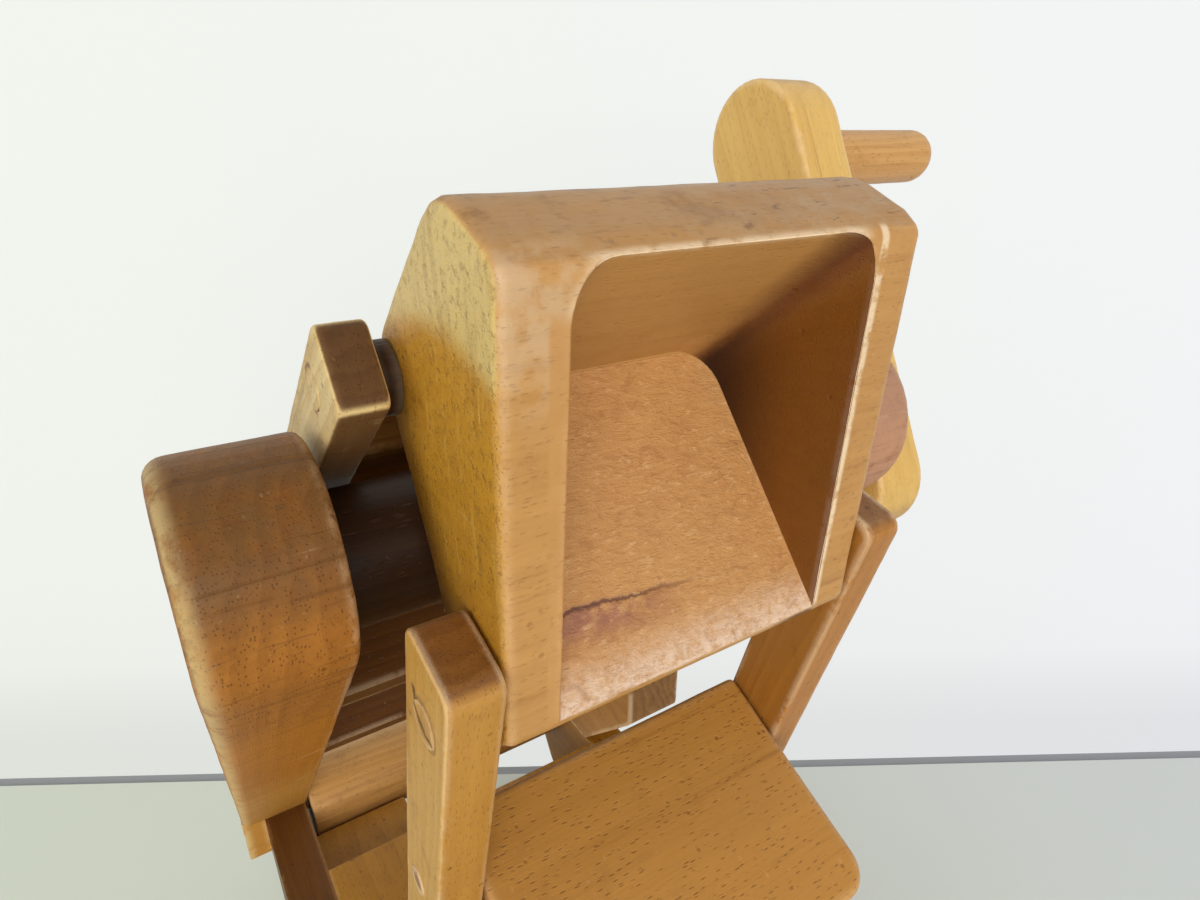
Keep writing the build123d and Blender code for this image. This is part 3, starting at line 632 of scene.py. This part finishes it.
def carve(base, tool, how, rim=0.0, steps=3):
    """Joins or cuts two solids and hands back a bmesh; the new rim can be eased. Both are removed."""
    cut = base.modifiers.new("carve", "BOOLEAN")
    cut.operation = how
    cut.solver = "EXACT"
    cut.object = tool
    if rim:
        soft = base.modifiers.new("rim", "BEVEL")
        soft.width = rim * MM
        soft.segments = steps
        soft.limit_method = "ANGLE"
        soft.angle_limit = radians(48)
        soft.miter_outer = "MITER_ARC"
    done = base.evaluated_get(bpy.context.evaluated_depsgraph_get())
    bm = bmesh.new()
    bm.from_mesh(done.to_mesh())
    done.to_mesh_clear()
    for ob in (base, tool):
        bpy.data.objects.remove(ob)
    bmesh.ops.remove_doubles(bm, verts=bm.verts, dist=2e-6)
    return bm


def step_along(start, slope, far, off=0.0):
    """A side-view point: far along a line that falls slope degrees to the back, and off square to it."""
    c, s = cos(radians(slope)), sin(radians(slope))
    return (start[0] + far * c + off * s, start[1] - far * s + off * c)


def make_bucket():
    heel = [(PIVOT[0] + HEEL_RADIUS * cos(radians(a)), PIVOT[1] + HEEL_RADIUS * sin(radians(a)))
            for a in range(-28, -95, -8)]
    outline = [(-75.2, 217.9), (-78.7, 285.6), (-75.4, 288.2), (-71.4, 289.9), (-68.5, 291.2),
               (-65.6, 292.0), (-62.8, 292.1), (-60.2, 291.3), (-57.4, 289.6), (-54.8, 287.5),
               (-32.1, 267.6)] + heel + [(-74.6, 216.3)]
    block = plank(outline, -BUCKET_HALF, BUCKET_HALF, [(-32.1, 267.6, 5.5), (-78.7, 285.6, 1.4)])
    ease(block, 1.7, 5)
    hole = plank([HOLLOW_TOP, HOLLOW_DEEP, HOLLOW_LIP, (-110.0, 166.2), (-110.0, 310.65)],
                 -MOUTH_HALF, MOUTH_HALF)
    for x in (-MOUTH_HALF, MOUTH_HALF):
        ends = [nearest(hole, *HOLLOW_TOP, x), nearest(hole, *HOLLOW_LIP, x)]
        bmesh.ops.connect_verts(hole, verts=ends)
    for v in hole.verts:
        if (v.co.yz - Vector(HOLLOW_DEEP) * MM).length < 1e-5:
            v.co.x *= DEEP_HALF / MOUTH_HALF
    roof = [e for e in hole.edges if abs(e.verts[0].co.x - e.verts[1].co.x) < 0.02
            and min(v.co.z for v in e.verts) > 0.2605 and abs(e.verts[0].co.y - e.verts[1].co.y) > 0.02]
    round_off(hole, roof, 7.5, 9)
    deep = [e for e in hole.edges
            if all(max(abs(c) for c in v.co.yz - Vector(HOLLOW_DEEP) * MM) < 2e-4 for v in e.verts)]
    round_off(hole, deep, 5.0, 8)
    bm = carve(solid("block", block), solid("hole", hole), "DIFFERENCE", 0.7, 3)
    cut_up(bm, 2.4)
    unevenness(bm, 0.35, 11.0, 3.0)
    keep("hollowed_bucket", bm, "bucket", ["bucket"], MATS["bucket"])


def make_side_bar(side, word):
    low, high = (-BAR_OUT, -BAR_IN) if side < 0 else (BAR_IN, BAR_OUT)
    lean, size = radians(BAR_SLOPE), BAR_RADIUS
    nose = step_along(SHAFT, BAR_SLOPE, -11.5, -1.7)
    arc = [step_along(nose, BAR_SLOPE, -size * sin(radians(a)), -size * cos(radians(a)))
           for a in range(0, 181, 9)]
    rake = (BAR_TAIL - 69.0) / (BAR_SEAT - 33.0)
    # where the top edge meets the raked tail
    top = step_along(nose, BAR_SLOPE, 0, size)
    run = (BAR_TAIL - top[0] + (top[1] - BAR_SEAT) * rake) / (cos(lean) + sin(lean) * rake)
    under = step_along(nose, BAR_SLOPE, 0, -size)
    foot = under[0] + (under[1] - BAR_SEAT) * cos(lean) / sin(lean)
    outline = arc + [step_along(top, BAR_SLOPE, run), (BAR_TAIL, BAR_SEAT), (foot, BAR_SEAT)]
    bm = plank(outline, low + 0.06, high - 0.06)
    outer = -1 if side < 0 else 1
    ease(bm, 3.4, 6, lambda c: c.x * outer > 70 and c.z > 74.5)
    ease(bm, 1.3, 4, lambda c: c.x * outer < 52 and c.z > 74.5)
    near, bottom = 71.2, 57.0       # front edge (y) and lower edge (z) of the cheek over the rail
    cheek = plank([(near, 76.0), (near, bottom), (BAR_TAIL - (BAR_SEAT - bottom) * rake, bottom),
                   (BAR_TAIL, BAR_SEAT), (BAR_TAIL + rake, 76.0)],
                  -71.94 if side < 0 else RAIL_OUT, -RAIL_OUT if side < 0 else 71.94,
                  [(near, bottom, 2.0)])
    ease(cheek, 1.2, 3, lambda c: c.x * outer > 70 and c.z < 73)
    bm = carve(solid("bar", bm), solid("cheek", cheek), "UNION")
    cut_up(bm, 3.0)
    unevenness(bm, 0.3, 13.0, 5.0 + side)
    keep("heavy_side_bar_" + word, bm, "frame", ["side_bar_" + word], MATS["bar"])


def make_push_bar(side, word):
    low, high = (-PUSH_OUT, -PUSH_IN) if side < 0 else (PUSH_IN, PUSH_OUT)
    pts = [step_along(LINK, PUSH_SLOPE, far, off)
           for far, off in ((-11.7, -8.6), (90.0, -8.6), (90.0, 5.9), (-11.7, 5.9))]
    bm = plank(pts, low + SHY, high - SHY, [pts[0] + (2.2,), pts[3] + (2.6,), pts[1] + (5,), pts[2] + (5,)])
    ease(bm, 0.9, 4)
    cut_up(bm, 1.8)
    unevenness(bm, 0.22, 8.0, 9.0 + side)
    keep("pegged_push_bar_" + word, bm, "push_bars", ["push_bar_" + word], MATS["push"])


def make_front_arm(side, word):
    low, high = (-ARM_OUT, -ARM_IN) if side < 0 else (ARM_IN, ARM_OUT)
    lean = radians(ARM_LEAN)
    d, n = Vector((sin(lean), -cos(lean))), Vector((cos(lean), sin(lean)))
    p = Vector(PIVOT)

    def on(far, off):
        q = p + far * d + off * n
        return (q.x, q.y)

    def foot(off):
        far = (p.y - BAR_SEAT + off * n.y) / -d.y
        return on(far, off)
    pts = [on(-14.2, -7.9), foot(-7.9), foot(7.9), on(-14.2, 7.9)]
    bm = plank(pts, low + SHY, high - SHY, [pts[0] + (3.2,), pts[3] + (3.0,)])
    ease(bm, 0.75, 4, lambda c: c.z > 74.5)
    cut_up(bm, 2.4)
    unevenness(bm, 0.25, 10.0, 13.0 + side)
    keep("upright_arm_" + word, bm, "frame", ["front_arm_" + word],
         MATS["arm" if side < 0 else "arm_right"])


def make_board():
    slope = radians(BOARD_SLOPE)
    d, n = Vector((0, -cos(slope), -sin(slope))), Vector((0, -sin(slope), cos(slope)))
    back = Vector((0, -48.0, 178.0))
    bm = bmesh.new()
    wide, long, thick = 36.25, 50, 10
    flat = [back + Vector((x, 0, 0)) + far * d
            for x, far in ((-wide, 0), (wide, 0), (wide, long), (-wide, long))]
    bm.faces.new([bm.verts.new(v * MM) for v in flat])
    for v, cut in zip(flat, (1.6, 1.6, 6.5, 6.5)):
        near = min(bm.verts, key=lambda w: (w.co - v * MM).length)
        bmesh.ops.bevel(bm, geom=[near], offset=cut * MM, segments=9, profile=0.5,
                        affect="VERTICES", material=-1)
    out = bmesh.ops.extrude_face_region(bm, geom=bm.faces[:])
    low = [v for v in out["geom"] if isinstance(v, bmesh.types.BMVert)]
    bmesh.ops.translate(bm, vec=-thick * MM * n, verts=low)
    bmesh.ops.recalc_face_normals(bm, faces=bm.faces)
    rim = {e for f in bm.faces if abs(f.normal.dot(n)) > 0.99 for e in f.edges}
    round_off(bm, rim, 1.8, 5)
    cut_up(bm, 2.6)
    unevenness(bm, 0.2, 12.0, 17.0)
    keep("sloping_board", bm, "frame", ["front_board"], MATS["board"])


def make_crank():
    u = Vector((0.4477, 0.8942))
    w = Vector((-u.y, u.x))
    s = Vector(SHAFT)
    ring = []
    for end, first in ((s + 72.5 * u, 0), (s - 14.6 * u, 180)):
        for k in range(0, 181, 9):
            a = radians(first + k)
            q = end - CRANK_RADIUS * cos(a) * w + CRANK_RADIUS * sin(a) * u
            ring.append((q.x, q.y))
    bm = plank(ring, CRANK_IN, CRANK_OUT)
    ease(bm, 1.3, 5)
    cut_up(bm, 3.2)
    unevenness(bm, 0.22, 15.0, 21.0)
    keep("turning_handle_arm", bm, "crank", ["crank_arm"], MATS["crank"])
    spot = s + 68.5 * u
    bm = bmesh.new()
    out = bmesh.ops.create_circle(bm, cap_ends=True, segments=64, radius=KNOB_RADIUS * MM)
    bmesh.ops.rotate(bm, cent=(0, 0, 0), matrix=Matrix.Rotation(pi / 2, 3, "Y"), verts=out["verts"])
    bmesh.ops.translate(bm, vec=(KNOB_IN * MM, spot.x * MM, spot.y * MM), verts=out["verts"])
    far = bmesh.ops.extrude_face_region(bm, geom=bm.faces[:])
    tips = [v for v in far["geom"] if isinstance(v, bmesh.types.BMVert)]
    bmesh.ops.translate(bm, vec=((KNOB_END - KNOB_IN) * MM, 0, 0), verts=tips)
    rim = [e for e in bm.edges if all(abs(v.co.x - KNOB_END * MM) < 1e-6 for v in e.verts)]
    round_off(bm, rim, 5.6, 8)
    cut_up(bm, 3.0)
    unevenness(bm, 0.2, 8.0, 25.0)
    keep("handle_grip", bm, "crank", ["crank_knob"], MATS["dowel"])


def paint(obj, mat):
    obj.data.materials.clear()
    obj.data.materials.append(mat)


# which wood each node wears, by the longest of these that its name starts with; the rest are dowel
WHICH = {
    "bucket": "bucket", "bucket_peg": "arm", "side_bar": "bar", "knee": "knee", "front_arm": "arm",
    # push_spacer wears the drum wood as a painted shadow in the gap beside the bucket
    "push_bar": "push", "push_peg": "push", "push_spacer": "drum", "push_board": "shade", "drum": "drum",
    "front_board": "board", "floor_board": "base", "base_board": "base", "ledge": "base",
    # rail_left wears the darker rail wood as painted shade; rail_right wears the base wood
    "rail_left": "rail", "rail_right": "base", "upper_str": "stretcher", "lower_str": "stretcher",
    "front_bearer": "crosswise", "rear_bearer": "crosswise", "arm_sill": "crosswise", "roller": "crosswise",
    "crank_arm": "crank",
}
for name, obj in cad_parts.items():
    start = next((k for k in sorted(WHICH, key=len, reverse=True) if name.startswith(k)), None)
    paint(obj, MATS[WHICH.get(start, "dowel")])

make_bucket()
for sign, word in ((-1, "left"), (1, "right")):
    make_side_bar(sign, word)
    make_push_bar(sign, word)
    make_front_arm(sign, word)
make_board()
make_crank()

# ---- camera: where the picture was taken from, and its lens ---------------------
yaw, pitch, roll = radians(33.124), radians(23.789), radians(-0.430)
ahead = Vector((sin(yaw) * cos(pitch), cos(yaw) * cos(pitch), -sin(pitch)))
right = Vector((cos(yaw), -sin(yaw), 0))
down = ahead.cross(right)
right, down = cos(roll) * right + sin(roll) * down, -sin(roll) * right + cos(roll) * down
cam_data = bpy.data.cameras.new("camera")
cam = bpy.data.objects.new("camera", cam_data)
bpy.context.scene.collection.objects.link(cam)
turned = Matrix((right, -down, -ahead)).transposed()
cam.matrix_world = Matrix.Translation(Vector((-69.195, -150.0, 300.0)) * MM) @ turned.to_4x4()
cam_data.sensor_fit = "HORIZONTAL"
cam_data.sensor_width = 36.0
cam_data.lens = 22.396
cam_data.clip_start = 0.01
cam_data.clip_end = 20.0
bpy.context.scene.camera = cam
bpy.context.scene.view_settings.view_transform = "Standard"


# ---- stage: table, wall, light --------------------------------------------------
def slab(name, low, high):
    bm = bmesh.new()
    bmesh.ops.create_cube(bm, size=1.0)
    lo, hi = Vector(low), Vector(high)
    bmesh.ops.scale(bm, vec=hi - lo, verts=bm.verts)
    bmesh.ops.translate(bm, vec=(lo + hi) / 2, verts=bm.verts)
    me = bpy.data.meshes.new(name)
    bm.to_mesh(me)
    bm.free()
    ob = bpy.data.objects.new(name, me)
    bpy.context.scene.collection.objects.link(ob)
    return ob


def stage_mat(name, colour, other, rough, glow=0.0):
    m = bpy.data.materials.new(name)
    m.use_nodes = True
    t = m.node_tree
    bsdf = t.nodes["Principled BSDF"]
    here = put(t, "TexCoord").outputs["Object"]
    x = put(t, "SeparateXYZ", {0: here}).outputs[0]
    n = noise(t, here, 9.0, 4.0, 0.6)
    blend = calc(t, "MULTIPLY_ADD", n, 0.1, spread(t, x, -0.25, 0.6, kind="LINEAR"))
    col = mix(t, blend, colour, other)
    base = mix(t, 0.8 if glow else 0.0, col, (0, 0, 0, 1))
    t.links.new(base, bsdf.inputs["Base Color"])
    bsdf.inputs["Roughness"].default_value = rough
    if glow:
        t.links.new(col, bsdf.inputs["Emission Color"])
        bsdf.inputs["Emission Strength"].default_value = glow
    return m


# the table's back edge runs from one of these points through the other
edge_left, edge_right = Vector((-0.168, 0.234, 0)), Vector((0.352, -0.077, 0))
edge = (edge_right - edge_left).normalized()
back = Vector((-edge.y, edge.x, 0))
turn_stage = Matrix((edge, back, Vector((0, 0, 1)))).transposed().to_4x4()
table = slab("table", (-2.0, -1.6, -0.02), (2.5, 0.0, -0.0005))
strip = slab("table_edge", (-2.0, 0.0, -0.02), (2.5, 0.006, -0.002))
wall = slab("wall", (-3.0, 0.10, -1.0), (4.0, 0.12, 3.0))
for piece in (table, strip, wall):
    piece.data.transform(Matrix.Translation(edge_left) @ turn_stage)
paint(table, stage_mat("table top", srgb(214, 220, 202), srgb(213, 215, 218), 0.45))
paint(strip, stage_mat("table edge", srgb(150, 152, 155), srgb(150, 152, 156), 0.5))
paint(wall, stage_mat("wall paint", srgb(236, 239, 230), srgb(238, 240, 243), 0.8, glow=0.8))


def lamp(name, place, target, wide, high, power, colour):
    d = bpy.data.lights.new(name, "AREA")
    d.shape = "RECTANGLE"
    d.size = wide
    d.size_y = high
    d.energy = power
    d.color = colour
    o = bpy.data.objects.new(name, d)
    o.location = place
    way = Vector(target) - Vector(place)
    o.rotation_euler = way.to_track_quat("-Z", "Y").to_euler()
    bpy.context.scene.collection.objects.link(o)


lamp("window", (-0.75, -1.7, 0.75), (0, 0, 0.22), 1.6, 1.2, 30.0, (1.0, 0.985, 0.95))
lamp("left side", (-1.7, -0.3, 0.7), (0, 0, 0.22), 1.2, 1.0, 6.0, (1.0, 0.99, 0.95))
world = bpy.data.worlds.new("room")
bpy.context.scene.world = world
world.use_nodes = True
world.node_tree.nodes["Background"].inputs["Color"].default_value = (0.86, 0.9, 0.93, 1)
world.node_tree.nodes["Background"].inputs["Strength"].default_value = 0.42
